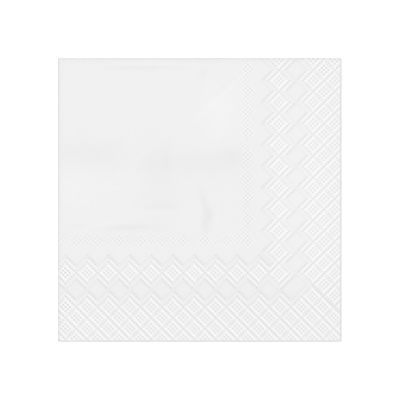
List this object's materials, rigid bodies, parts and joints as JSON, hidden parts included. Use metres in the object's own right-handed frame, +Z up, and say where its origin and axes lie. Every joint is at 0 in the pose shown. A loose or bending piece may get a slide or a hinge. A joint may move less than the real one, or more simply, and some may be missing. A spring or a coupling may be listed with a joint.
{
  "type": "paper napkin",
  "caption": "Square white paper napkin folded in four, lying flat, with an embossed diamond border along its open edges and a plain centre.",
  "frame": {"origin": "middle of the footprint, on the surface that the folded napkin lies on", "axes": "+Z up, square to the flat face; +Y towards the first fold and +X away from the second fold, so the open edges are at -Y and +X"},
  "size_m": [0.165, 0.165, 0.0019],
  "materials": {
    "tissue": "matte soft tissue, fibrous, embossed along the open edges"
  },
  "bodies": {
    "root": {"folded_sheet": "tissue"}
  },
  "joints": []
}
